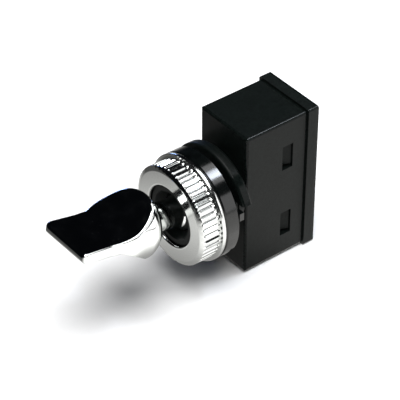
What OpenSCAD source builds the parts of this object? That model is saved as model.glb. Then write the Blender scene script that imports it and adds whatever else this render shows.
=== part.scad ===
// Panel toggle switch: a bat-lever changeover switch held in a panel by its threaded nose.
// The origin is on the nose's axis, in the plane of the panel seat. The lever points to -Y,
// the terminals to +Y, and the lever swings up and down about X. Sizes are in millimetres.

/* [Case] */
// Width of the moulded case
case_w = 13; // [11:0.5:18]
// Height of the case from end to end
case_h = 30; // [29:0.5:38]
// Depth of the case from its front face to the terminal base
case_d = 13.8; // [13:0.1:18]
// Thickness of the case walls
wall = 1.3; // [1:0.1:1.8]
// Rounding of the case edges
edge_r = 0.5; // [0.2:0.1:1]
// Height of each latch window in the case sides
window_h = 5.2; // [3:0.1:6]
// Depth of each latch window, front to back
window_d = 2.4; // [1.6:0.1:3]
// Distance between the two windows of one side, centre to centre
window_pitch = 15; // [13:0.5:18]
// How far the windows sit below the nose's axis
window_drop = 0.5; // [0:0.1:1]
// Wall left between a window and the case's rear rim
window_rim = 3.1; // [2.5:0.1:4]

/* [Threaded nose] */
// Radius over the nose's thread
nose_r = 5.95; // [5.5:0.05:7]
// Length of the nose in front of the panel seat
nose_l = 4.3; // [3.8:0.1:10]
// Radius of the round seat that holds the lever's ball
socket_r = 3.68; // [3.4:0.02:4.2]
// Radius of the flared mouth
mouth_r = 4.8; // [4.4:0.1:5.2]
// Radius of the bore where it opens into the case
throat_r = 4.7; // [4.5:0.1:5.4]
// Thread left bare between back ring and shoulder
bare_thread = 1; // [0.6:0.1:3]
// Radius of the half-round shoulder behind the back ring
shoulder_r = 10.5; // [9:0.1:12]
// Thickness of the shoulder
shoulder_t = 2.1; // [1.5:0.1:3]
// Height above the axis at which the shoulder is cut off
shoulder_cut = 3.7; // [2:0.1:5]
// Radius of the step between shoulder and case
step_r = 8; // [7:0.1:9]
// Thickness of that step
step_t = 1.2; // [0.8:0.1:2]

/* [Rings] */
// Width of the back ring's locating lugs
lug_w = 1.6; // [1:0.1:2.4]
// Height of those lugs above the axis
lug_up = 2.1; // [1:0.1:3]
// Outer radius of the two rings that clamp the panel
ring_r = 10.4; // [10:0.1:12]
// Thickness of the back ring
ring_t = 3.1; // [2:0.1:4]
// Radius over the knurl of the bezel nut
nut_r = 9.65; // [9:0.05:11]
// Thickness of the bezel nut with its rim
nut_t = 4.8; // [4:0.1:6]
// Radius of the bezel nut's flat front face
nut_face_r = 8.87; // [8:0.05:9]
// Thickness of the rim at the back of the bezel nut
rim_t = 0.7; // [0.5:0.1:1.5]
// Number of knurl ridges
knurl_count = 50; // [36:1:72]
// Depth of the knurl grooves
knurl_depth = 0.35; // [0.2:0.05:0.5]
// Room between bezel nut and back ring, which a panel fills
panel_room = 0.1; // [0.1:0.1:3]

/* [Lever] */
// Distance of the pivot in front of the panel seat
pivot_l = 1.6; // [1:0.1:2.4]
// Angle of the lever above or below the axis at either end of its travel
throw_a = 11.5; // [8:0.5:12]
// Length of the lever from its pivot to its tip
lever_l = 26.5; // [24:0.1:36]
// Width of the paddle at its crease
paddle_w = 11.3; // [9:0.1:12]
// Width of the paddle at its tip
tip_w = 12.2; // [9:0.1:12.8]
// Rounding of the two tip corners, seen from above
corner_r = 1.3; // [0.6:0.1:3]
// Thickness of the paddle at its crease
paddle_t = 2.4; // [2:0.1:3]
// Thickness of the paddle at its rounded tip
tip_t = 2.2; // [1.2:0.1:2.4]
// Distance from the pivot to the crease between paddle and ramps
crease_l = 18; // [16:0.5:20]
// Slope at which the two ramps leave the paddle
ramp_a = 17; // [10:0.5:22]
// Radius of the hollow sweep of the ramps
ramp_r = 18; // [14:0.5:40]
// Length over which the lever widens from the crease to the round shoulder
flare_l = 4.5; // [2:0.1:5]
// Radius of the round shoulder of the lever
bulb_r = 6.5; // [5.8:0.05:6.8]
// Distance from the pivot to the back of the round shoulder's straight part
bulb_l = 11.5; // [10.8:0.1:12]
// Rounding of the shoulder's back
bulb_edge = 3; // [2:0.1:3.2]
// Radius of the neck
neck_r = 2.7; // [2.2:0.1:2.8]
// Radius of the ball at the pivot
ball_r = 3.6; // [3.3:0.02:4.1]
// Radius of the tail behind the ball
tail_r = 2; // [1.8:0.1:2.2]
// Length of the tail behind the pivot
tail_l = 11.2; // [10:0.1:12]
// Radius of the pivot pin
pin_r = 0.75; // [0.6:0.05:1]

/* [Plunger and rocker] */
// Radius of the nylon plunger
plunger_r = 1.2; // [1:0.05:1.4]
// Length of the plunger inside the tail
plunger_seat = 4.4; // [3:0.1:5.5]
// Length of the plunger spring as fitted
spring_l = 4.4; // [3:0.1:4.8]
// Wire radius of the plunger spring
wire_r = 0.16; // [0.1:0.01:0.2]
// Number of coils of the plunger spring
coils = 5; // [4:1:7]
// Thickness of the rocker strip
rocker_t = 0.8; // [0.6:0.1:1]
// Width of the rocker strip
rocker_w = 5; // [4:0.1:5.6]
// Distance from the rocker's pivot to its contacts
contact_l = 9; // [8:0.1:9.5]
// Tilt of the rocker either way
rocker_a = 7; // [5:0.5:8]
// Height of the rocker's bowed centre
bow = 0.56; // [0.3:0.02:0.8]
// Radius of the rocker's side pivots
trunnion_r = 0.7; // [0.6:0.05:0.9]
// Radius of every contact button
button_r = 1.6; // [1.2:0.1:1.9]
// Height of every contact button
button_h = 0.9; // [0.7:0.1:1.2]
// Chamfer round the face of every contact button
button_edge = 0.25; // [0.1:0.05:0.4]

/* [Terminal base] */
// Thickness of the base plate behind the case
plate_t = 2.35; // [2:0.05:3]
// How far the base plate stands proud of the case all round
plate_lip = 0.42; // [0.2:0.02:0.8]
// Depth of the block that plugs into the case
plug_d = 3; // [2.4:0.1:4]
// Height of the ribs between the terminals
rib_h = 1.2; // [0.6:0.1:3]
// Width of the ribs between the terminals
rib_w = 10; // [8:0.5:13]
// Thickness of those ribs
rib_t = 1.2; // [1:0.1:1.6]
// Room between the outer terminals and the ends of the case cavity
strap_room = 1.7; // [1.4:0.1:2.2]
// Thickness of the terminal metal
terminal_t = 0.8; // [0.6:0.1:1]
// Width of the outer terminals
terminal_w = 6; // [5:0.1:7]
// Radius of the terminal screws
screw_r = 1.25; // [1:0.05:1.4]
// Length of the screw shanks below the head
screw_l = 4.6; // [4:0.1:5.2]
// Radius of the screw heads
head_r = 2.4; // [2:0.1:2.9]
// Height of the screw heads
head_h = 1.3; // [1:0.1:2]
// Thickness of the wire clamps under the heads
clamp_t = 0.6; // [0.4:0.1:1]
// Thickness of those nuts
insert_t = 1.6; // [1.2:0.1:2]

/* [Fits] */
// Radial clearance of a turning or sliding fit
run_fit = 0.05; // [0.02:0.01:0.1]
// Radial clearance of a piece that is seated and stays put
seat_fit = 0.03; // [0.02:0.01:0.05]
// Side clearance between the base plug and the case
plug_fit = 0.15; // [0.1:0.01:0.3]
// Air left at rest in front of and behind the rocker
rocker_air = 0.05; // [0.03:0.01:0.1]

/* [Hidden] */
$fn = 96;

eps = 0.01;
ring_back_y = ring_t;
shoulder_y = ring_back_y + bare_thread;
step_y = shoulder_y + shoulder_t;
case_y = step_y + step_t;
case_back_y = case_y + case_d;
plate_y = case_back_y;
rear_y = plate_y + plate_t;
plug_y = plate_y - plug_d;
cavity_y = case_y + wall;
cavity_w = case_w - 2 * wall;
cavity_h = case_h - 2 * wall;
window_y = case_back_y - window_rim - window_d / 2;
plug_w = cavity_w - 2 * plug_fit;
rim_r = ring_r;
strap_z = cavity_h / 2 - strap_room - terminal_t;
terminal_z = strap_z + terminal_t - terminal_w / 2;
plug_h = 2 * strap_z - 2 * seat_fit;
insert_w = terminal_w - 2 * terminal_t - 2 * seat_fit;
fixed_y = plug_y - terminal_t - button_h;
button_back = rocker_t / 2 - bow + button_h;
rocker_y = fixed_y - rocker_air - button_back * cos(rocker_a)
           - (contact_l + button_r - button_edge) * sin(rocker_a);
plunger_l = rocker_y - rocker_t / 2 + pivot_l - rocker_air;
spring_r = plunger_r - wire_r;
plunger_back = tail_l - plunger_seat;
pivot_y = -pivot_l;

// ---- helpers ---------------------------------------------------------------------------

// Revolves a profile of radius against Y about the nose's axis.
module turned() {
    rotate([-90, 0, 0])
        rotate_extrude()
            children();
}

// Extrudes a side view (Y across, Z up) over a width along X.
module across(width) {
    rotate([90, 0, 90])
        linear_extrude(height = width, center = true)
            children();
}

// Extrudes a front view (X across, Z up) backwards from y0.
module back_from(y0, depth) {
    translate([0, y0 + depth, 0])
        rotate([90, 0, 0])
            linear_extrude(height = depth)
                children();
}

// Extrudes a plan view (X across, Y up) over a height along Z.
module stacked(height) {
    linear_extrude(height = height, center = true)
        children();
}

module rounded(w, h, r) {
    square([w - 2 * r, h], center = true);
    square([w, h - 2 * r], center = true);
    for (sx = [-1, 1], sy = [-1, 1])
        translate([sx * (w / 2 - r), sy * (h / 2 - r)])
            circle(r = r);
}

module cross_hole(r, length) {
    rotate([0, 90, 0])
        cylinder(r = r, h = length, center = true);
}

module rod(r, y0, y1) {
    translate([0, y0, 0])
        rotate([-90, 0, 0])
            cylinder(r = r, h = y1 - y0);
}

// Puts what is drawn about the lever's own axis at the pivot, lever up.
module at_lever() {
    translate([0, pivot_y, 0])
        rotate([-throw_a, 0, 0])
            children();
}

// Puts what is drawn about the rocker's own pivot in its place, lower contact closed.
module at_rocker() {
    translate([0, rocker_y, 0])
        rotate([rocker_a, 0, 0])
            children();
}

// ---- case and rings --------------------------------------------------------------------

// One black moulding: open-backed case, step, half-round shoulder and threaded nose.
module housing() {
    color("#1b2020")
        difference() {
            union() {
                case_shell();
                rod(nose_r, -nose_l + 0.4, cavity_y);
                rod(nose_r - 0.3, -nose_l, cavity_y);
                collar();
            }
            lever_bore();
            translate([0, pivot_y, 0])
                cross_hole(pin_r + seat_fit, 3 * nose_r);
            for (side = [-1, 1], zone = [-1, 1])
                translate([side * case_w / 2, window_y, zone * window_pitch / 2 - window_drop])
                    cube([2 * wall + edge_r, window_d, window_h], center = true);
        }
}

module case_shell() {
    difference() {
        intersection() {
            back_from(case_y, case_d)
                rounded(case_w, case_h, edge_r);
            across(case_w)
                soft_front(case_h);
            stacked(case_h)
                rotate(90)
                    soft_front(case_w);
        }
        back_from(cavity_y, case_d)
            rounded(cavity_w, cavity_h, edge_r);
    }
}

// A rectangle from the case's front face to its back, with its two front corners rounded.
module soft_front(height) {
    translate([case_y + edge_r, -height / 2])
        square([case_d - edge_r, height]);
    translate([case_y, -height / 2 + edge_r])
        square([case_d, height - 2 * edge_r]);
    for (end = [-1, 1])
        translate([case_y + edge_r, end * (height / 2 - edge_r)])
            circle(r = edge_r);
}

// The shoulder and the step behind it, both cut off flat above the axis.
module collar() {
    intersection() {
        turned() {
            translate([0, shoulder_y])
                square([shoulder_r - 0.5, shoulder_t]);
            translate([0, shoulder_y + 0.5])
                square([shoulder_r, shoulder_t - 1]);
            translate([shoulder_r - 0.5, shoulder_y + 0.5])
                circle(r = 0.5);
            translate([shoulder_r - 0.5, step_y - 0.5])
                circle(r = 0.5);
            translate([0, step_y - eps])
                square([step_r, step_t + 2 * eps]);
        }
        translate([-shoulder_r, shoulder_y - 1, shoulder_cut])
            cube([2 * shoulder_r, shoulder_t + step_t + 2, shoulder_r]);
    }
    rod(nose_r + 0.25, step_y, cavity_y);
}

// The way through for the lever: flared mouth, round seat, and a cone into the case.
module lever_bore() {
    translate([0, -nose_l - eps, 0])
        rotate([-90, 0, 0])
            cylinder(r1 = mouth_r, r2 = socket_r, h = nose_l - pivot_l - 1.2);
    rod(socket_r, pivot_y - 1.4, pivot_y + 2.4);
    translate([0, pivot_y + 2.2, 0])
        rotate([-90, 0, 0])
            cylinder(r1 = socket_r, r2 = throat_r, h = cavity_y - pivot_y - 2.2 + eps);
}

// The black ring nut that sets how far the nose stands out, with two locating lugs behind.
module back_ring() {
    color("#141718")
        difference() {
            union() {
                turned()
                    difference() {
                        square([ring_r, ring_t]);
                        for (end = [0, ring_t])
                            translate([ring_r, end])
                                rotate(45)
                                    square(0.5, center = true);
                    }
                for (side = [0, 180])
                    rotate([0, side, 0])
                        ring_lug(side);
            }
            rod(nose_r + seat_fit, -1, ring_t + bare_thread);
        }
}

module ring_lug(side) {
    lug_z = side == 0 ? lug_up : -lug_up;
    translate([ring_r - 0.3 - lug_w, ring_t - eps, lug_z - lug_w / 2])
        cube([lug_w, bare_thread - seat_fit, lug_w]);
}

// The bright nut: flat face, knurled band and a thin rim that bears on the panel.
module bezel_nut() {
    nut_back = -panel_room;
    nut_front = nut_back - nut_t;
    knurl_back = nut_back - rim_t;
    color("#d8dcdf")
        difference() {
            turned()
                polygon([
                    [nose_r + seat_fit, nut_front + 0.3],
                    [nose_r + seat_fit + 0.3, nut_front],
                    [nut_face_r, nut_front],
                    [nut_r, nut_front + 0.45],
                    [nut_r, knurl_back],
                    [rim_r - 0.15, knurl_back],
                    [rim_r, knurl_back + 0.15],
                    [rim_r, nut_back - 0.15],
                    [rim_r - 0.15, nut_back],
                    [nose_r + seat_fit, nut_back]
                ]);
            for (i = [0 : knurl_count - 1])
                rotate([0, i * 360 / knurl_count, 0])
                    translate([nut_r, nut_front - 0.5, 0])
                        rotate([-90, 45, 0])
                            linear_extrude(height = nut_t - rim_t + 0.5)
                                square(knurl_depth * sqrt(2), center = true);
        }
}

// ---- lever -----------------------------------------------------------------------------

// One bright casting: paddle, two ramps, round shoulder, neck, ball and bored tail.
module lever() {
    color("#e4e8ea")
        at_lever()
            difference() {
                union() {
                    intersection() {
                        lever_turning();
                        across(3 * bulb_r)
                            lever_side();
                        stacked(3 * bulb_r)
                            lever_plan();
                    }
                    sphere(r = ball_r);
                    rod(tail_r, 0, tail_l);
                    rod(neck_r, -bulb_l, 0);
                }
                cross_hole(pin_r + run_fit, 3 * ball_r);
                rod(plunger_r + run_fit, plunger_back - spring_l, tail_l + 1);
            }
}

// The round blank: rounded back, then a cylinder out to the tip.
module lever_turning() {
    turned() {
        translate([0, -lever_l])
            square([bulb_r, lever_l - bulb_l]);
        translate([0, -bulb_l - eps])
            square([bulb_r - bulb_edge, bulb_edge + eps]);
        intersection() {
            translate([bulb_r - bulb_edge, -bulb_l])
                circle(r = bulb_edge);
            translate([0, -bulb_l - eps])
                square([bulb_r, bulb_edge + eps]);
        }
    }
}

// Side view: round tip, paddle, and ramps that sweep up to the round shoulder.
module lever_side() {
    half_t = paddle_t / 2;
    tip_y = -lever_l + tip_t / 2;
    translate([tip_y, 0])
        circle(r = tip_t / 2);
    polygon([
        [tip_y, -tip_t / 2], [-crease_l + eps, -half_t], [-crease_l + eps, half_t],
        [tip_y, tip_t / 2]
    ]);
    difference() {
        translate([-crease_l, -bulb_r - 1])
            square([crease_l, 2 * bulb_r + 2]);
        for (side = [-1, 1])
            translate([-crease_l - ramp_r * sin(ramp_a), side * (half_t + ramp_r * cos(ramp_a))])
                circle(r = ramp_r, $fn = 180);
    }
}

// Plan view: paddle with rounded tip corners, widening into the round shoulder.
module lever_plan() {
    corner_y = -lever_l + corner_r;
    flare_y = -crease_l + flare_l;
    translate([-bulb_r, flare_y - eps])
        square([2 * bulb_r, crease_l]);
    polygon([
        [-tip_w / 2, corner_y], [tip_w / 2, corner_y], [paddle_w / 2, -crease_l],
        [bulb_r, flare_y], [-bulb_r, flare_y], [-paddle_w / 2, -crease_l]
    ]);
    translate([corner_r - tip_w / 2, -lever_l])
        square([tip_w - 2 * corner_r, 2 * corner_r]);
    for (side = [-1, 1])
        translate([side * (tip_w / 2 - corner_r), corner_y])
            circle(r = corner_r);
}

// The cross pin pressed through the nose and the ball.
module pivot_pin() {
    color("#9aa0a4")
        translate([0, pivot_y, 0])
            cross_hole(pin_r, 2 * (nose_r - 0.6));
}

// The nylon plunger in the lever's tail, with a round nose.
module plunger() {
    color("#d9d6c8")
        at_lever() {
            rod(plunger_r, plunger_back, plunger_l - plunger_r);
            translate([0, plunger_l - plunger_r, 0])
                sphere(r = plunger_r);
        }
}

// The plunger's spring: wire wound in a helix about the lever's axis.
module plunger_spring() {
    color("#aeb4b8")
        at_lever()
            polyhedron(
                points = [for (i = [0 : wire_rings], j = [0 : wire_sides - 1]) wire_point(i, j)],
                faces = concat(
                    [[for (j = [0 : wire_sides - 1]) j]],
                    [[for (j = [wire_sides - 1 : -1 : 0]) wire_rings * wire_sides + j]],
                    [for (i = [0 : wire_rings - 1], j = [0 : wire_sides - 1]) wire_face(i, j)]
                )
            );
}

wire_sides = 8;
steps_per_coil = 18;
wire_rings = coils * steps_per_coil;

function wire_point(i, j) =
    let (
        turn = 360 * i / steps_per_coil,
        round = 360 * j / wire_sides,
        away = spring_r + wire_r * cos(round),
        along = plunger_back - spring_l + wire_r + (spring_l - 2 * wire_r) * i / wire_rings
    )
    [away * cos(turn), along + wire_r * sin(round), away * sin(turn)];

function wire_face(i, j) =
    let (next = (j + 1) % wire_sides)
    [i * wire_sides + j, (i + 1) * wire_sides + j,
     (i + 1) * wire_sides + next, i * wire_sides + next];

// ---- contacts --------------------------------------------------------------------------

// The see-saw strip: bowed centre under the plunger, straight arms, two side pivots.
module rocker() {
    arm_l = contact_l + button_r + 0.4;
    bow_l = 4;
    back = rocker_t / 2;
    color("#c49a4a")
        at_rocker() {
            across(rocker_w)
                polygon([
                    [-back, 0], [-bow - back, -bow_l], [-bow - back, -arm_l],
                    [back - bow, -arm_l], [back - bow, -bow_l], [back, 0],
                    [back - bow, bow_l], [back - bow, arm_l], [-bow - back, arm_l],
                    [-bow - back, bow_l]
                ]);
            for (side = [-1, 1])
                translate([side * (rocker_w / 2 + cradle_out()) / 2, 0, 0])
                    cross_hole(trunnion_r, cradle_out() - rocker_w / 2 + 0.4);
        }
}

function cradle_in() = rocker_w / 2 + 0.4;
function cradle_out() = cradle_in() + terminal_t + 0.2;

module moving_contact(zone) {
    color("#cfd3d4")
        at_rocker()
            translate([0, 0, zone * contact_l])
                button(rocker_t / 2 - bow, 1);
}

module upper_moving_contact() {
    moving_contact(1);
}

module lower_moving_contact() {
    moving_contact(-1);
}

// A contact button that stands on the plane y0 and faces back (1) or forwards (-1).
module button(y0, facing) {
    translate([0, y0, 0])
        rotate([-90 * facing, 0, 0]) {
            cylinder(r = button_r, h = button_h - button_edge);
            cylinder(r = button_r - button_edge, h = button_h);
        }
}

// ---- terminal base ---------------------------------------------------------------------

// The rear moulding: plate, plug block, four latch arms, and ribs between the terminals.
module terminal_base() {
    color("#202526")
        difference() {
            union() {
                back_from(plate_y, plate_t)
                    rounded(case_w + 2 * plate_lip, case_h + 2 * plate_lip, edge_r);
                back_from(plug_y, plug_d + eps)
                    rounded(plug_w, plug_h, 0.3);
                for (zone = [-1, 1])
                    translate([0, rear_y + rib_h / 2 - eps, zone * terminal_z / 2])
                        cube([rib_w, rib_h, rib_t], center = true);
                for (side = [-1, 1], zone = [-1, 1])
                    translate([0, 0, zone * window_pitch / 2 - window_drop])
                        latch(side);
            }
            for (zone = [-1, 0, 1])
                translate([0, 0, zone * terminal_z])
                    rod(screw_r + 0.4, rear_y - screw_l + terminal_t + clamp_t - 0.6, rear_y + 1);
            for (zone = [-1, 0, 1])
                translate([0, rear_y - insert_t / 2, zone * terminal_z])
                    cube([insert_w + 2 * seat_fit, insert_t + 2 * eps, insert_w + 2 * seat_fit],
                         center = true);
            for (side = [-1, 1])
                translate([side * (cradle_in() + terminal_t / 2), (plug_y + rear_y) / 2, 0])
                    cube([terminal_t + 2 * seat_fit, plate_t + plug_d + 2, terminal_w + 2 * seat_fit],
                         center = true);
            for (zone = [-1, 1])
                translate([0, (plug_y + rear_y) / 2, zone * (strap_z + terminal_t / 2)])
                    cube([terminal_w + 2 * seat_fit, plate_t + plug_d + 2, terminal_t + 2 * seat_fit],
                         center = true);
        }
}

// A latch arm that lies against the case wall, with a hook that fills the window's front.
module latch(side) {
    arm_t = 0.9;
    arm_w = window_h - 0.8;
    hook_y = window_y - window_d / 2 + seat_fit;
    arm_x = side * (plug_w / 2 - arm_t / 2);
    translate([arm_x, (hook_y + plug_y) / 2 + 0.2, 0])
        cube([arm_t, plug_y - hook_y + 0.6, arm_w], center = true);
    translate([side * (plug_w / 2 - 0.1), hook_y - 0.1, -arm_w / 2])
        linear_extrude(height = arm_w)
            polygon([
                [0, 0], [0, window_d - 2 * seat_fit + 0.1],
                [side * (wall - 0.2), window_d - 2 * seat_fit + 0.1], [side * 0.2, 0]
            ]);
}

// The middle terminal: a pad under its screw, and two ears that cradle the rocker.
module common_terminal() {
    ear_front = rocker_y - trunnion_r - 0.2;
    color("#c8a85a")
        difference() {
            union() {
                translate([0, rear_y + terminal_t / 2, 0])
                    cube([2 * (cradle_in() + terminal_t), terminal_t, terminal_w], center = true);
                for (side = [-1, 1])
                    translate([side * (cradle_in() + terminal_t / 2), (ear_front + rear_y) / 2, 0])
                        cube([terminal_t, rear_y - ear_front + eps, terminal_w], center = true);
            }
            at_cradle()
                cross_hole(trunnion_r + run_fit, 3 * case_w);
            at_cradle()
                translate([0, -trunnion_r - 1, 0])
                    cube([case_w, 2 * trunnion_r + 2, 2 * (trunnion_r + run_fit)], center = true);
            rod(screw_r + seat_fit, rear_y - 1, rear_y + terminal_t + 1);
        }
}

module at_cradle() {
    translate([0, rocker_y, 0])
        children();
}

// An outer terminal: a strap folded round the plug from the screw pad to the fixed contact.
module outer_terminal() {
    difference() {
        across(terminal_w)
            polygon([
                [rear_y, terminal_z - terminal_w / 2],
                [rear_y + terminal_t, terminal_z - terminal_w / 2],
                [rear_y + terminal_t, strap_z + terminal_t],
                [plug_y - terminal_t, strap_z + terminal_t],
                [plug_y - terminal_t, contact_l - button_r - 0.2],
                [plug_y, contact_l - button_r - 0.2],
                [plug_y, strap_z],
                [rear_y, strap_z]
            ]);
        translate([0, 0, terminal_z])
            rod(screw_r + seat_fit, rear_y - 1, rear_y + terminal_t + 1);
    }
}

module upper_terminal() {
    color("#c8a85a")
        outer_terminal();
}

module lower_terminal() {
    color("#c8a85a")
        mirror([0, 0, 1])
            outer_terminal();
}

module upper_fixed_contact() {
    color("#cfd3d4")
        translate([0, 0, contact_l])
            button(plug_y - terminal_t, -1);
}

module lower_fixed_contact() {
    color("#cfd3d4")
        translate([0, 0, -contact_l])
            button(plug_y - terminal_t, -1);
}

// Three slotted screws, run down on their clamps.
module terminal_screws() {
    seat = rear_y + terminal_t + clamp_t;
    color("#b9bec2")
        for (zone = [-1, 0, 1])
            translate([0, 0, zone * terminal_z])
                difference() {
                    union() {
                        rod(screw_r, seat - screw_l, seat + eps);
                        rod(head_r, seat, seat + head_h - 0.2);
                        rod(head_r - 0.2, seat, seat + head_h);
                    }
                    translate([0, seat + head_h, 0])
                        cube([3 * head_r, 1.4, 0.7], center = true);
                }
}

// Three square nuts, each trapped in its pocket under a terminal, inside the fold of the strap.
module terminal_nuts() {
    color("#b08d4a")
        for (zone = [-1, 0, 1])
            translate([0, 0, zone * terminal_z])
                difference() {
                    back_from(rear_y - insert_t, insert_t)
                        square(insert_w, center = true);
                    rod(screw_r + seat_fit, rear_y - insert_t - 1, rear_y + 1);
                }
}

// Three square clamps under the screw heads.
module wire_clamps() {
    color("#b9bec2")
        for (zone = [-1, 0, 1])
            translate([0, 0, zone * terminal_z])
                difference() {
                    back_from(rear_y + terminal_t, clamp_t)
                        rounded(terminal_w, terminal_w, 0.6);
                    rod(screw_r + seat_fit, rear_y, rear_y + terminal_t + clamp_t + 1);
                }
}

housing();
back_ring();
bezel_nut();
lever();
pivot_pin();
plunger();
plunger_spring();
rocker();
upper_moving_contact();
lower_moving_contact();
terminal_base();
common_terminal();
upper_terminal();
lower_terminal();
upper_fixed_contact();
lower_fixed_contact();
terminal_screws();
terminal_nuts();
wire_clamps();
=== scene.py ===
import math

import bmesh
import bpy
from mathutils import Matrix, Vector


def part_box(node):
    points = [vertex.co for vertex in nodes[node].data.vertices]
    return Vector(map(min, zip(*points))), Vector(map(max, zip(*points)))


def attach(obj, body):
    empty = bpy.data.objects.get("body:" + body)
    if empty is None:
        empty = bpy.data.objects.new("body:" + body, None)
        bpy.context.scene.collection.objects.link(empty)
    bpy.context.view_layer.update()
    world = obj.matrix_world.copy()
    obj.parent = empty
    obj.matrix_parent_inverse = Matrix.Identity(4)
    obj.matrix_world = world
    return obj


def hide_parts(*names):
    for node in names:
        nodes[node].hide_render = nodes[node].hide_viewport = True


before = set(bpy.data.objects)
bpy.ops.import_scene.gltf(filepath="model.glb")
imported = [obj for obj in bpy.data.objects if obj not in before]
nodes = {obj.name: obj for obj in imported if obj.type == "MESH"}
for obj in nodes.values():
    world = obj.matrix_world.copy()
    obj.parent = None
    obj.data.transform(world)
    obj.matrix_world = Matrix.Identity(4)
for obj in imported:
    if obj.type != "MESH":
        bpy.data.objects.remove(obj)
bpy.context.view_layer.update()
scene = bpy.context.scene
scene.view_settings.view_transform = "Standard"


# The sheet under the switch: matt white card, bright enough to read as plain white paper.
# It takes the soft shadow, and a faint fibre keeps it from being one flat tone.
FLOOR_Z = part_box("terminal_base")[0].z
PAPER_HALF = 1.5


def linear(code):
    """An sRGB hex colour as linear red, green, blue and alpha."""
    parts = [int(code[i:i + 2], 16) / 255 for i in (1, 3, 5)]
    return [c / 12.92 if c <= 0.04045 else ((c + 0.055) / 1.055) ** 2.4 for c in parts] + [1.0]


def add_node(tree, kind, inputs=(), **settings):
    """Adds one node with its settings. Each input holds a value or is fed by a node or socket."""
    node = tree.nodes.new(kind)
    for key, value in settings.items():
        setattr(node, key, value)
    for key, feed in dict(inputs).items():
        if isinstance(feed, bpy.types.Node):
            feed = feed.outputs[0]
        if isinstance(feed, bpy.types.NodeSocket):
            tree.links.new(feed, node.inputs[key])
        else:
            node.inputs[key].default_value = feed
    return node


def start_material(name):
    """An empty node material, with its output and the piece's own coordinates."""
    material = bpy.data.materials.new(name)
    material.use_nodes = True
    tree = material.node_tree
    tree.nodes.clear()
    output = add_node(tree, "ShaderNodeOutputMaterial")
    return material, tree, output, add_node(tree, "ShaderNodeTexCoord").outputs["Object"]


def matt_white_card():
    """Uncoated card: an even white with no shine. Its fibres lie about 1.1 mm apart."""
    material, tree, output, place = start_material("matt_white_card")
    fibre = add_node(tree, "ShaderNodeTexNoise", {"Vector": place, "Scale": 900.0, "Detail": 3.0})
    tone = add_node(tree, "ShaderNodeMapRange",
                    {"Value": fibre.outputs["Fac"], "To Min": 0.84, "To Max": 0.87})
    grey = add_node(tree, "ShaderNodeCombineColor", {"Red": tone, "Green": tone, "Blue": tone})
    paper = add_node(tree, "ShaderNodeBsdfPrincipled",
                     {"Base Color": grey, "Roughness": 0.9, "Specular IOR Level": 0.1})
    tree.links.new(paper.outputs[0], output.inputs["Surface"])
    return material


def flat_sheet(name, half, z, material):
    """A square sheet, centred under the switch."""
    mesh = bpy.data.meshes.new(name)
    mesh.from_pydata([(-half, -half, z), (half, -half, z), (half, half, z), (-half, half, z)],
                     [], [(0, 1, 2, 3)])
    mesh.materials.append(material)
    sheet = bpy.data.objects.new(name, mesh)
    scene.collection.objects.link(sheet)
    return sheet


paper_sheet = flat_sheet("paper_sheet", PAPER_HALF, FLOOR_Z, matt_white_card())
paper_sheet.visible_glossy = False


# What bright metal mirrors from below: a graduated card just under the paper, white towards
# the right and the back, dark towards the left and the front. Only reflections show it.
BRIGHT_SIDE = (0.75, 0.66, 0.0)
DARK_END, BRIGHT_END = -0.055, 0.012
CONTACT_NEAR, CONTACT_FAR = 0.016, 0.030
CARD_HALF, CARD_DROP = 0.6, 0.0001


def graduated_glow():
    """A lit card: its glow grows along BRIGHT_SIDE, and painted shade dims it close under the
    switch.
    """
    material, tree, output, place = start_material("graduated_card")
    along = add_node(tree, "ShaderNodeVectorMath", {0: place, 1: BRIGHT_SIDE},
                     operation="DOT_PRODUCT")
    slope = add_node(tree, "ShaderNodeMapRange",
                     {"Value": along.outputs["Value"], "From Min": DARK_END,
                      "From Max": BRIGHT_END, "To Min": 0.10, "To Max": 1.75},
                     interpolation_type="SMOOTHSTEP")
    away = add_node(tree, "ShaderNodeVectorMath", {0: place}, operation="LENGTH")
    # painted shade: within 16 to 30 mm of the switch the glow drops to a quarter, standing in for
    # the switch's shadow on the floor it mirrors
    shade = add_node(tree, "ShaderNodeMapRange",
                     {"Value": away.outputs["Value"], "From Min": CONTACT_NEAR,
                      "From Max": CONTACT_FAR, "To Min": 0.25, "To Max": 1.0},
                     interpolation_type="SMOOTHSTEP")
    level = add_node(tree, "ShaderNodeMath", {0: slope, 1: shade}, operation="MULTIPLY")
    glow = add_node(tree, "ShaderNodeEmission", {"Color": linear("#fffefb"), "Strength": level})
    tree.links.new(glow.outputs[0], output.inputs["Surface"])
    return material


graduated_card = flat_sheet("graduated_card", CARD_HALF, FLOOR_Z - CARD_DROP, graduated_glow())
graduated_card.visible_camera = False
graduated_card.visible_diffuse = False
graduated_card.visible_shadow = False
graduated_card.visible_transmission = False


# The light: a dark room with one broad soft bank overhead, a bright strip high behind that
# draws the thin lines along the black edges, a pale card on the right and a cool window left.
LAMP_DISTANCE = 0.45


def direction(azimuth, elevation):
    """The way from the switch at two angles in radians. Azimuth 0 is the front, then right."""
    return Vector((math.sin(azimuth) * math.cos(elevation),
                   -math.cos(azimuth) * math.cos(elevation), math.sin(elevation)))


def add_light(name, kind, azimuth, elevation, strength, colour, **settings):
    """A lamp that shines on the switch from a direction in degrees."""
    lamp = bpy.data.lights.new(name, kind)
    lamp.energy = strength
    lamp.color = linear(colour)[:3]
    for key, value in settings.items():
        setattr(lamp, key, value)
    away = direction(math.radians(azimuth), math.radians(elevation))
    spot = bpy.data.objects.new(name, lamp)
    spot.location = away * LAMP_DISTANCE
    spot.rotation_mode = "QUATERNION"
    spot.rotation_quaternion = away.to_track_quat("Z", "Y")
    scene.collection.objects.link(spot)


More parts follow.
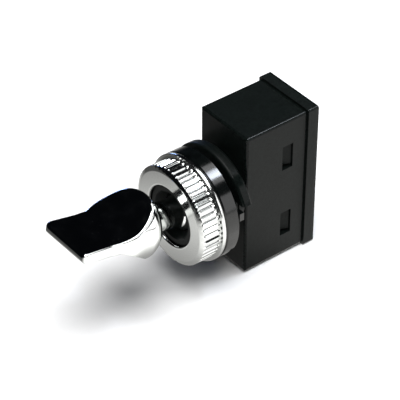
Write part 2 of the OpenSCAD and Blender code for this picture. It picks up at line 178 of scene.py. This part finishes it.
world = bpy.data.worlds.new("dark_room")
world.use_nodes = True
world.node_tree.nodes["Background"].inputs["Color"].default_value = linear("#1c2026")
world.node_tree.nodes["Background"].inputs["Strength"].default_value = 0.15
scene.world = world
add_light("overhead_bank", "SUN", 31, 74, 4.0, "#ffffff", angle=math.radians(48))
add_light("rear_bank", "AREA", 170, 60, 0.55, "#ffffff", shape="RECTANGLE", size=0.30, size_y=0.20)
add_light("rear_strip", "AREA", 167, 58, 0.55, "#eaf2ff", shape="RECTANGLE", size=0.12, size_y=0.05)
add_light("right_card", "AREA", 130, 16, 0.50, "#ffffff", shape="RECTANGLE", size=0.36, size_y=0.24)
add_light("left_window", "AREA", -108, 8, 0.16, "#9dbcff", shape="RECTANGLE", size=0.05, size_y=0.10)


# The camera: a long lens, high off the switch's right front corner.
AZIMUTH, ELEVATION, ROLL = (math.radians(a) for a in (51.53, 38.46, -0.27))
CAMERA_DISTANCE = 0.3772
AIM = Vector((0.0, 0.00216, 0.00033))
camera_data = bpy.data.cameras.new("camera")
camera_data.sensor_width = 36.0
camera_data.lens = 189.9
camera_data.clip_start = 0.01
camera = bpy.data.objects.new("camera", camera_data)
to_camera = direction(AZIMUTH, ELEVATION)
camera.location = AIM + to_camera * CAMERA_DISTANCE
camera.rotation_mode = "QUATERNION"
camera.rotation_quaternion = (to_camera.to_track_quat("Z", "Y")
                              @ Matrix.Rotation(-ROLL, 3, "Z").to_quaternion())
scene.collection.objects.link(camera)
scene.camera = camera


# The case and its threaded nose: one black nylon moulding from a spark-eroded mould. Its
# flat sides are satin with a fine grain, and its handled edges are polished and catch light.
CASE_FRONT, CASE_HALF_W = 0.0074, 0.0065
EDGE_POLISHED, EDGE_SATIN = 0.0002, 0.0006


def edge_gap(tree, place, low, high):
    """How far a point of a box's skin lies from the box's nearest edge: of its three gaps to
    the box's sides, the middle one."""
    split = add_node(tree, "ShaderNodeSeparateXYZ", {"Vector": place})
    gaps = []
    for axis, near, far in zip("XYZ", low, high):
        offset = add_node(tree, "ShaderNodeMath", {0: split.outputs[axis], 1: (near + far) / 2},
                          operation="SUBTRACT")
        size = add_node(tree, "ShaderNodeMath", {0: offset}, operation="ABSOLUTE")
        gaps.append(add_node(tree, "ShaderNodeMath", {0: (far - near) / 2, 1: size},
                             operation="SUBTRACT"))
    less = add_node(tree, "ShaderNodeMath", {0: gaps[0], 1: gaps[1]}, operation="MINIMUM")
    more = add_node(tree, "ShaderNodeMath", {0: gaps[0], 1: gaps[1]}, operation="MAXIMUM")
    third = add_node(tree, "ShaderNodeMath", {0: more, 1: gaps[2]}, operation="MINIMUM")
    return add_node(tree, "ShaderNodeMath", {0: less, 1: third}, operation="MAXIMUM")


def moulded_plastic(name, colour, roughness, grain_mm, grain_depth_mm, specular, edges=None):
    """Moulded plastic: an eroded grain, a sheen that changes slowly over about 6 mm, and, where
    edges gives the corners of a box, polished edges."""
    material, tree, output, place = start_material(name)
    grain = add_node(tree, "ShaderNodeTexNoise", {
        "Vector": place, "Scale": 1000.0 / grain_mm, "Detail": 4.0, "Roughness": 0.65})
    flow = add_node(tree, "ShaderNodeTexNoise", {"Vector": place, "Scale": 160.0, "Detail": 2.0})
    sheen = add_node(tree, "ShaderNodeMapRange", {
        "Value": flow.outputs["Fac"], "To Min": roughness - 0.05, "To Max": roughness + 0.07})
    sheen = sheen.outputs[0]
    speck = add_node(tree, "ShaderNodeMapRange", {
        "Value": grain.outputs["Fac"], "From Min": 0.3, "From Max": 0.7})
    rgb = linear(colour)[:3]
    tint = add_node(tree, "ShaderNodeMix", {
        "Factor": speck, "A": [c * 0.5 for c in rgb] + [1.0], "B": [c * 1.6 for c in rgb] + [1.0]},
        data_type="RGBA")
    relief = add_node(tree, "ShaderNodeBump", {
        "Height": grain.outputs["Fac"], "Strength": 1.0, "Distance": grain_depth_mm / 1000})
    if edges:
        worn = add_node(tree, "ShaderNodeMapRange", {
            "Value": edge_gap(tree, place, *edges), "From Min": EDGE_SATIN,
            "From Max": EDGE_POLISHED, "To Min": 0.0, "To Max": 1.0},
            interpolation_type="SMOOTHSTEP")
        polished = add_node(tree, "ShaderNodeMix", {"Factor": worn, "A": sheen, "B": 0.12},
                            data_type="FLOAT")
        sheen = polished.outputs["Result"]
    surface = add_node(tree, "ShaderNodeBsdfPrincipled", {
        "Base Color": tint.outputs["Result"], "Roughness": sheen, "Normal": relief,
        "IOR": 1.5, "Specular IOR Level": specular})
    tree.links.new(surface.outputs[0], output.inputs["Surface"])
    return material


def dress(material, *names):
    """Gives CAD nodes their material."""
    for name in names:
        slots = nodes[name].material_slots
        if not slots:
            nodes[name].data.materials.append(material)
        for slot in slots:
            slot.material = material


case_low, case_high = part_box("housing")
case_corners = (Vector((-CASE_HALF_W, CASE_FRONT, case_low.z)),
                Vector((CASE_HALF_W, case_high.y, case_high.z)))
dress(moulded_plastic("satin_black_nylon", "#0a0e0d", 0.40, 0.45, 0.010, 0.10, case_corners),
      "housing")


# The back ring: a glossy black ring nut, moulded in nylon and screwed down the nose. Its
# skin is the mirror of a polished mould, so it shows the lamps as clear glints.
dress(moulded_plastic("glossy_black_nylon", "#060808", 0.14, 1.2, 0.003, 0.5), "back_ring")


# The bezel nut: brass turned and straight knurled on a lathe, then bright plated. It screws
# down the nose and clamps the panel. Its face keeps the fine rings of the turning tool.
NUT_HOLE, NUT_FACE, NUT_KNURL, NUT_RIM = 5.98, 8.87, 9.65, 10.4
NUT_FRONT, RIM_FRONT, NUT_BACK = -4.9, -0.8, -0.1
KNURL_START, KNURL_LENGTH, KNURL_STEPS = -4.40, 3.52, 16


def plated_metal(name, colour, roughness, rub_depth_mm, turned=False):
    """Bright plating over metal. Cloudy patches of about 2.4 mm dull it a little, and it keeps
    polishing rub 0.2 mm apart along Y, or the rings of a turning tool about 0.1 mm apart."""
    material, tree, output, place = start_material(name)
    cloud = add_node(tree, "ShaderNodeTexNoise", {"Vector": place, "Scale": 420.0, "Detail": 5.0})
    dull = add_node(tree, "ShaderNodeMapRange", {
        "Value": cloud.outputs["Fac"], "From Min": 0.35, "From Max": 0.75,
        "To Min": roughness, "To Max": roughness + 0.07})
    if turned:
        flat = add_node(tree, "ShaderNodeMapping", {"Vector": place, "Scale": (1.0, 0.0, 1.0)})
        radius = add_node(tree, "ShaderNodeVectorMath", {0: flat}, operation="LENGTH")
        marks = add_node(tree, "ShaderNodeTexNoise", {
            "Scale": 9000.0, "Detail": 1.0}, noise_dimensions="1D")
        tree.links.new(radius.outputs["Value"], marks.inputs["W"])
    else:
        stretch = add_node(tree, "ShaderNodeMapping", {"Vector": place, "Scale": (1.0, 0.08, 1.0)})
        marks = add_node(tree, "ShaderNodeTexNoise", {
            "Vector": stretch, "Scale": 5000.0, "Detail": 2.0})
    relief = add_node(tree, "ShaderNodeBump", {
        "Height": marks.outputs["Fac"], "Strength": 1.0, "Distance": rub_depth_mm / 1000})
    surface = add_node(tree, "ShaderNodeBsdfPrincipled", {
        "Base Color": linear(colour), "Metallic": 1.0, "Roughness": dull, "Normal": relief})
    tree.links.new(surface.outputs[0], output.inputs["Surface"])
    return material


def nut_section():
    """The nut's section in mm, as radius and depth, from the back of its hole round to there."""
    hole = [(NUT_HOLE, NUT_BACK), (NUT_HOLE, -2.5), (NUT_HOLE, -4.62), (NUT_HOLE + 0.08, -4.8),
            (NUT_HOLE + 0.26, NUT_FRONT)]
    front = [(NUT_HOLE + 0.4, NUT_FRONT), (7.5, NUT_FRONT), (NUT_FACE - 0.2, NUT_FRONT),
             (NUT_FACE - 0.04, NUT_FRONT), (NUT_FACE + 0.06, NUT_FRONT + 0.04),
             (NUT_KNURL - 0.09, -4.52), (NUT_KNURL - 0.02, -4.46)]
    knurl = [(NUT_KNURL, KNURL_START + KNURL_LENGTH * i / KNURL_STEPS)
             for i in range(KNURL_STEPS + 1)]
    rim = [(NUT_KNURL, -0.84), (NUT_KNURL + 0.06, RIM_FRONT), (10.2, RIM_FRONT), (10.33, -0.77),
           (NUT_RIM, -0.68), (NUT_RIM, -0.45), (NUT_RIM, -0.22), (10.35, -0.13)]
    back = [(10.22, NUT_BACK), (8.0, NUT_BACK), (NUT_HOLE, NUT_BACK)]
    return hole + front + knurl + rim + back


def knurled_nut_tree():
    """Turns a section round Y and sinks rounded grooves into its knurl, which run out at both
    ends. The section's points become the rows of a grid, which is bent into the nut."""
    tree = bpy.data.node_groups.new("knurled_nut", "GeometryNodeTree")
    sockets = tree.interface
    sockets.new_socket("Geometry", in_out="INPUT", socket_type="NodeSocketGeometry")
    for label, kind, value in (
            ("Ridges", "NodeSocketInt", 50), ("Steps per ridge", "NodeSocketInt", 12),
            ("Groove depth", "NodeSocketFloat", 0.00035), ("Groove width", "NodeSocketFloat", 0.55),
            ("Knurl front", "NodeSocketFloat", -0.0045), ("Knurl back", "NodeSocketFloat", -0.00085),
            ("Run-out", "NodeSocketFloat", 0.0003), ("Knurl radius", "NodeSocketFloat", 0.00925)):
        sockets.new_socket(label, in_out="INPUT", socket_type=kind).default_value = value
    sockets.new_socket("Plating", in_out="INPUT", socket_type="NodeSocketMaterial")
    sockets.new_socket("Geometry", in_out="OUTPUT", socket_type="NodeSocketGeometry")
    given = add_node(tree, "NodeGroupInput").outputs

    # the grid, and for each of its points the turn round the nut and the point of the section
    rows = add_node(tree, "GeometryNodeAttributeDomainSize", {"Geometry": given["Geometry"]})
    steps = add_node(tree, "ShaderNodeMath", {0: given["Ridges"], 1: given["Steps per ridge"]},
                     operation="MULTIPLY")
    columns = add_node(tree, "ShaderNodeMath", {0: steps, 1: 1}, operation="ADD")
    grid = add_node(tree, "GeometryNodeMeshGrid", {"Vertices X": columns, "Vertices Y": rows})
    index = add_node(tree, "GeometryNodeInputIndex")
    row = add_node(tree, "ShaderNodeMath", {0: index, 1: rows}, operation="MODULO")
    column = add_node(tree, "ShaderNodeMath", {0: index, 1: rows}, operation="DIVIDE")
    column = add_node(tree, "ShaderNodeMath", {0: column}, operation="FLOOR")
    turn = add_node(tree, "ShaderNodeMath", {0: column, 1: steps}, operation="DIVIDE")
    position = add_node(tree, "GeometryNodeInputPosition")
    point = add_node(tree, "GeometryNodeSampleIndex", {
        "Geometry": given["Geometry"], "Value": position, "Index": row}, data_type="FLOAT_VECTOR")
    point = add_node(tree, "ShaderNodeSeparateXYZ", {"Vector": point.outputs["Value"]}).outputs
    radius, depth = point["X"], point["Y"]

    # across a ridge: 0 on its crest, 1 in the middle of the groove
    phase = add_node(tree, "ShaderNodeMath", {0: turn, 1: given["Ridges"]}, operation="MULTIPLY")
    phase = add_node(tree, "ShaderNodeMath", {0: phase}, operation="FRACT")
    phase = add_node(tree, "ShaderNodeMath", {0: phase, 1: 2}, operation="MULTIPLY")
    phase = add_node(tree, "ShaderNodeMath", {0: phase, 1: 1}, operation="SUBTRACT")
    across = add_node(tree, "ShaderNodeMath", {0: phase}, operation="ABSOLUTE")
    crest = add_node(tree, "ShaderNodeMath", {0: 1, 1: given["Groove width"]},
                     operation="SUBTRACT")
    groove = add_node(tree, "ShaderNodeMapRange", {
        "Value": across, "From Min": crest, "From Max": 1.0}, interpolation_type="SMOOTHSTEP")

    # along a ridge: the groove runs out before the knurl's front and back ends
    front = add_node(tree, "ShaderNodeMath", {0: depth, 1: given["Knurl front"]},
                     operation="SUBTRACT")
    front = add_node(tree, "ShaderNodeMath", {0: front, 1: given["Run-out"]}, operation="DIVIDE")
    back = add_node(tree, "ShaderNodeMath", {0: given["Knurl back"], 1: depth},
                    operation="SUBTRACT")
    back = add_node(tree, "ShaderNodeMath", {0: back, 1: given["Run-out"]}, operation="DIVIDE")
    reach = add_node(tree, "ShaderNodeMath", {0: front, 1: back}, operation="MINIMUM")
    reach = add_node(tree, "ShaderNodeClamp", {"Value": reach})
    outside = add_node(tree, "ShaderNodeMath", {0: radius, 1: given["Knurl radius"]},
                       operation="GREATER_THAN")
    cut = add_node(tree, "ShaderNodeMath", {0: groove, 1: reach}, operation="MULTIPLY")
    deep = add_node(tree, "ShaderNodeMath", {0: outside, 1: given["Groove depth"]},
                    operation="MULTIPLY")
    cut = add_node(tree, "ShaderNodeMath", {0: cut, 1: deep}, operation="MULTIPLY")
    radius = add_node(tree, "ShaderNodeMath", {0: radius, 1: cut}, operation="SUBTRACT")

    angle = add_node(tree, "ShaderNodeMath", {0: turn, 1: 2 * math.pi}, operation="MULTIPLY")
    cosine = add_node(tree, "ShaderNodeMath", {0: angle}, operation="COSINE")
    sine = add_node(tree, "ShaderNodeMath", {0: angle}, operation="SINE")
    x = add_node(tree, "ShaderNodeMath", {0: radius, 1: cosine}, operation="MULTIPLY")
    z = add_node(tree, "ShaderNodeMath", {0: radius, 1: sine}, operation="MULTIPLY")
    bent = add_node(tree, "ShaderNodeCombineXYZ", {"X": x, "Y": depth, "Z": z})
    shaped = add_node(tree, "GeometryNodeSetPosition", {"Geometry": grid, "Position": bent})
    joined = add_node(tree, "GeometryNodeMergeByDistance", {"Geometry": shaped, "Distance": 1e-6})
    smooth = add_node(tree, "GeometryNodeSetShadeSmooth", {"Geometry": joined})
    real = add_node(tree, "GeometryNodeRealizeInstances", {"Geometry": smooth})
    plated = add_node(tree, "GeometryNodeSetMaterial", {
        "Geometry": real, "Material": given["Plating"]})
    add_node(tree, "NodeGroupOutput", {"Geometry": plated})
    return tree


def turn_outwards(mesh):
    """Makes the faces of a closed mesh point outwards."""
    work = bmesh.new()
    work.from_mesh(mesh)
    bmesh.ops.recalc_face_normals(work, faces=work.faces)
    if work.calc_volume(signed=True) < 0:
        bmesh.ops.reverse_faces(work, faces=work.faces)
    work.to_mesh(mesh)
    work.free()
    mesh.update()


def apply_modifier(piece, modifier):
    """Keeps the plain mesh that a modifier makes, and takes the modifier off."""
    bpy.context.view_layer.update()
    ready = piece.evaluated_get(bpy.context.evaluated_depsgraph_get())
    mesh = bpy.data.meshes.new_from_object(ready)
    piece.modifiers.remove(modifier)
    piece.data = mesh


def grow(piece, tree, inputs):
    """Runs a Geometry Nodes tree on a piece, with its inputs set by their identifiers."""
    modifier = piece.modifiers.new("grow", "NODES")
    modifier.node_group = tree
    for item in tree.interface.items_tree:
        if item.item_type == "SOCKET" and item.in_out == "INPUT" and item.name in inputs:
            modifier[item.identifier] = inputs[item.name]
    apply_modifier(piece, modifier)
    turn_outwards(piece.data)


nut_chrome = plated_metal("bright_plated_brass", "#d4d6d5", 0.12, 0.0006, turned=True)
outline = nut_section()
outline_mesh = bpy.data.meshes.new("bezel_nut_section")
outline_mesh.from_pydata([(r / 1000, y / 1000, 0.0) for r, y in outline],
                         [(i, i + 1) for i in range(len(outline) - 1)], [])
bezel_nut = bpy.data.objects.new("bezel_nut_knurled", outline_mesh)
scene.collection.objects.link(bezel_nut)
grow(bezel_nut, knurled_nut_tree(), {"Ridges": 50, "Plating": nut_chrome})
bezel_nut.data.set_sharp_from_angle(angle=math.radians(40))
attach(bezel_nut, "case")
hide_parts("bezel_nut")


# The lever: one zinc casting, polished and bright plated. A flat paddle runs by two hollow
# ramps into a round shoulder, and a soft rim runs round each ramp. Behind the shoulder come a
# neck, the ball that turns in the nose, and a tail bored for the plunger. Sizes are in mm.
PIVOT_Y = -1.6
THROW = math.radians(11.5)
TIP_L, TIP_T, TIP_W, CORNER_R = 26.5, 2.2, 12.2, 1.3
CREASE_L, PADDLE_T, PADDLE_W = 18.0, 2.4, 11.3
RAMP_A, RAMP_R = math.radians(17), 18.0
FLARE_SLOPE, FLARE_CURVE = 0.19, 0.05
BULB_L, BULB_R, BULB_EDGE = 11.5, 6.5, 3.0
NECK_R, BALL_R, TAIL_R, TAIL_L, BORE_R, BORE_L = 2.7, 3.6, 2.0, 11.2, 1.25, 2.4
PIN_HOLE_R = 0.8
PAST_ALL = 99.0
SOFTNESS, PADDLE_SOFTNESS = 22.0, 12.0
GROOVE_AT, GROOVE_W, GROOVE_D = 0.85, 0.14, 0.10
HOLLOW_AT, HOLLOW_W, HOLLOW_D = -0.75, 0.30, 0.05
TIP_ZONE, TIP_STEPS, PADDLE_STEP, RAMP_STEP, BACK_STEPS, BALL_STEPS = 1.6, 22, 0.25, 0.07, 26, 24
COUNT = 320


def shoulder_radius(s):
    """Radius of the round blank at a distance s from the pivot."""
    back = min(max(BULB_L - s, 0.0), BULB_EDGE)
    return BULB_R - BULB_EDGE + math.sqrt(BULB_EDGE ** 2 - back ** 2)


def half_height(s):
    """Half the lever's height at s: rounded tip, tapered paddle, then the hollow ramps."""
    tip_start = TIP_L - TIP_T / 2
    if s > tip_start:
        return math.sqrt(max((TIP_T / 2) ** 2 - (s - tip_start) ** 2, 0.0))
    if s > CREASE_L:
        return TIP_T / 2 + (PADDLE_T - TIP_T) / 2 * (tip_start - s) / (tip_start - CREASE_L)
    across = CREASE_L + RAMP_R * math.sin(RAMP_A) - s
    if across >= RAMP_R:
        return PAST_ALL
    return PADDLE_T / 2 + RAMP_R * math.cos(RAMP_A) - math.sqrt(RAMP_R ** 2 - across ** 2)


def half_width(s):
    """Half the lever's width at s: rounded tip corners, paddle, then the flare."""
    if s < CREASE_L:
        t = CREASE_L - s
        return PADDLE_W / 2 + FLARE_SLOPE * t + FLARE_CURVE * t * t
    wide = PADDLE_W / 2 + (TIP_W - PADDLE_W) / 2 * (s - CREASE_L) / (TIP_L - CREASE_L)
    over = s - (TIP_L - CORNER_R)
    if over > 0:
        wide += math.sqrt(max(CORNER_R ** 2 - over ** 2, 0.0)) - CORNER_R
    return wide


def circle(radius):
    """A turned section: points evenly round the lever's own axis."""
    return [(radius * math.cos(2 * math.pi * i / COUNT), radius * math.sin(2 * math.pi * i / COUNT))
            for i in range(COUNT)]


def lever_ring(s):
    """The lever's outline at s: what blank, height and width have in common, with soft edges.
    On the ramps a groove outside their border and a slight hollow inside leave a rim between."""
    blank, high, wide = shoulder_radius(s), half_height(s), half_width(s)
    soft = SOFTNESS
    if s >= CREASE_L:
        soft -= (SOFTNESS - PADDLE_SOFTNESS) * min((s - CREASE_L) / 2.0, 1.0)
    ring = []
    for i in range(COUNT):
        angle = 2 * math.pi * i / COUNT
        c, n = abs(math.cos(angle)), abs(math.sin(angle))
        body = (blank ** -soft + (c / wide) ** soft) ** (-1 / soft)
        r = (body ** -soft + (n / max(high, 1e-4)) ** soft) ** (-1 / soft)
        if s < CREASE_L and n > 1e-6 and high < PAST_ALL:
            over = high / n - body
            fade = min(CREASE_L - s, 1.0)
            r -= GROOVE_D * fade * math.exp(-((over - GROOVE_AT) / GROOVE_W) ** 2)
            if over < 0.2:
                r -= HOLLOW_D * fade * math.exp(-((over - HOLLOW_AT) / HOLLOW_W) ** 2)
        ring.append((r * math.cos(angle), r * math.sin(angle)))
    return ring


def lever_point(x, s, z):
    """A point of the lever's own frame as a place in metres, with the lever up."""
    return (x / 1000,
            (PIVOT_Y - s * math.cos(THROW) + z * math.sin(THROW)) / 1000,
            (s * math.sin(THROW) + z * math.cos(THROW)) / 1000)


def lever_sections():
    """Every section of the lever from its tip to its tail and into the tail's bore."""
    tip_back = TIP_L - TIP_ZONE
    stations = [tip_back + TIP_ZONE * math.sin(math.pi / 2 * (1 - i / TIP_STEPS))
                for i in range(1, TIP_STEPS)]
    stations += [tip_back - PADDLE_STEP * i
                 for i in range(int((tip_back - CREASE_L) / PADDLE_STEP))]
    stations += [CREASE_L + 0.1]
    stations += [CREASE_L - RAMP_STEP * i for i in range(int((CREASE_L - BULB_L) / RAMP_STEP))]
    stations += [BULB_L - BULB_EDGE * math.sin(math.pi / 2 * i / BACK_STEPS)
                 for i in range(BACK_STEPS)]
    ball_front = math.sqrt(BALL_R ** 2 - NECK_R ** 2)
    ball_back = math.sqrt(BALL_R ** 2 - TAIL_R ** 2)
    first = math.acos(ball_front / BALL_R) + 0.05
    sweep = math.acos(-ball_back / BALL_R) - math.acos(ball_front / BALL_R) - 0.08
    # the hollow fillet from the shoulder's back down to the neck
    turned = [(8.5, 3.42), (8.5, 3.25), (8.47, 3.05), (8.38, 2.88), (8.2, 2.75), (7.9, NECK_R)]
    turned += [(ball_front + 0.35, NECK_R), (ball_front + 0.12, NECK_R + 0.03)]
    for i in range(BALL_STEPS + 1):
        angle = first + sweep * i / BALL_STEPS
        turned.append((BALL_R * math.cos(angle), BALL_R * math.sin(angle)))
    turned += [(-ball_back - 0.15, TAIL_R), (-TAIL_L + 0.3, TAIL_R), (-TAIL_L + 0.05, TAIL_R - 0.1),
               (-TAIL_L, TAIL_R - 0.25), (-TAIL_L, BORE_R), (-BORE_L, BORE_R), (-BORE_L, 0.02)]
    return [(s, lever_ring(s)) for s in stations] + [(s, circle(r)) for s, r in turned]


def loft(name, sections):
    """Joins sections of the same count by faces and closes both ends. The tip's is zipped up
    from side to side, because that section is nearly flat."""
    work = bmesh.new()
    loops = [[work.verts.new(lever_point(x, s, z)) for x, z in ring] for s, ring in sections]
    for one, two in zip(loops, loops[1:]):
        for i in range(COUNT):
            k = (i + 1) % COUNT
            work.faces.new((one[i], one[k], two[k], two[i]))
    work.faces.new(loops[-1])
    tip, middle = loops[0], COUNT // 2
    work.faces.new((tip[0], tip[1], tip[COUNT - 1]))
    for i in range(2, middle):
        work.faces.new((tip[i - 1], tip[i], tip[COUNT - i], tip[COUNT - i + 1]))
    work.faces.new((tip[middle - 1], tip[middle], tip[middle + 1]))
    bmesh.ops.remove_doubles(work, verts=work.verts, dist=2e-6)
    bmesh.ops.dissolve_degenerate(work, edges=work.edges, dist=1e-6)
    mesh = bpy.data.meshes.new(name)
    work.to_mesh(mesh)
    work.free()
    return mesh


def drill_across(piece, radius, place):
    """Drills a round hole through a piece along X."""
    work = bmesh.new()
    bmesh.ops.create_cone(work, cap_ends=True, segments=48, radius1=radius, radius2=radius,
                          depth=0.02, matrix=place @ Matrix.Rotation(math.pi / 2, 4, "Y"))
    mesh = bpy.data.meshes.new("drill")
    work.to_mesh(mesh)
    work.free()
    drill = bpy.data.objects.new("drill", mesh)
    scene.collection.objects.link(drill)
    bore = piece.modifiers.new("bore", "BOOLEAN")
    bore.object = drill
    bore.operation = "DIFFERENCE"
    bore.solver = "EXACT"
    apply_modifier(piece, bore)
    bpy.data.objects.remove(drill)


lever_mesh = loft("lever_casting", lever_sections())
lever_mesh.materials.append(plated_metal("bright_plated_zinc", "#dcdedd", 0.05, 0.00015))
turn_outwards(lever_mesh)
for polygon in lever_mesh.polygons:
    polygon.use_smooth = True
lever_mesh.set_sharp_from_angle(angle=math.radians(50))
lever = bpy.data.objects.new("lever_casting", lever_mesh)
scene.collection.objects.link(lever)
drill_across(lever, PIN_HOLE_R / 1000, Matrix.Translation((0.0, PIVOT_Y / 1000, 0.0)))
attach(lever, "toggle")
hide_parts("lever")


# The pivot pin and the plunger's spring: a cut length of steel wire pressed through the nose,
# and a coil of thin wire in the lever's tail. Zinc plating leaves them a soft pale grey.
steel = plated_metal("zinc_plated_steel", "#b4b8ba", 0.28, 0.001)
dress(steel, "pivot_pin", "plunger_spring")


# The plunger: natural nylon, moulded with a round nose that slides over the rocker. It has
# the waxy cream tone of unfilled nylon, and it is free in the bore of the tail.
dress(moulded_plastic("natural_nylon", "#d8d4c4", 0.45, 0.4, 0.002, 0.4), "plunger")


# The rocker, the terminals and the nuts under them: blanked and folded from brass strip. The
# rolls leave it a warm, slightly dull shine. The straps are folded round the base's plug.
brass = plated_metal("rolled_brass", "#c9a25a", 0.3, 0.001)
dress(brass, "rocker", "common_terminal", "upper_terminal", "lower_terminal", "terminal_nuts")


# The contacts: buttons of silver alloy, riveted to the rocker and to the outer terminals.
# They look whiter and softer than the brass round them.
silver = plated_metal("silver_contact_alloy", "#d9dad8", 0.25, 0.001)
dress(silver, "upper_moving_contact", "lower_moving_contact", "upper_fixed_contact",
      "lower_fixed_contact")


# The terminal base: glass-filled black moulding, pushed into the case until its latches
# click. The glass fibres leave it a little duller than the case.
PLATE_BACK = 0.02355
plate_low, plate_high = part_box("terminal_base")
plate_corners = (plate_low, Vector((plate_high.x, PLATE_BACK, plate_high.z)))
dress(moulded_plastic("glass_filled_nylon", "#0c100f", 0.45, 0.40, 0.012, 0.10, plate_corners),
      "terminal_base")


# The screws and their wire clamps: cold-headed slotted screws and square pressed washers,
# zinc plated like the pin. They are driven through the terminals into the nuts.
dress(steel, "terminal_screws", "wire_clamps")
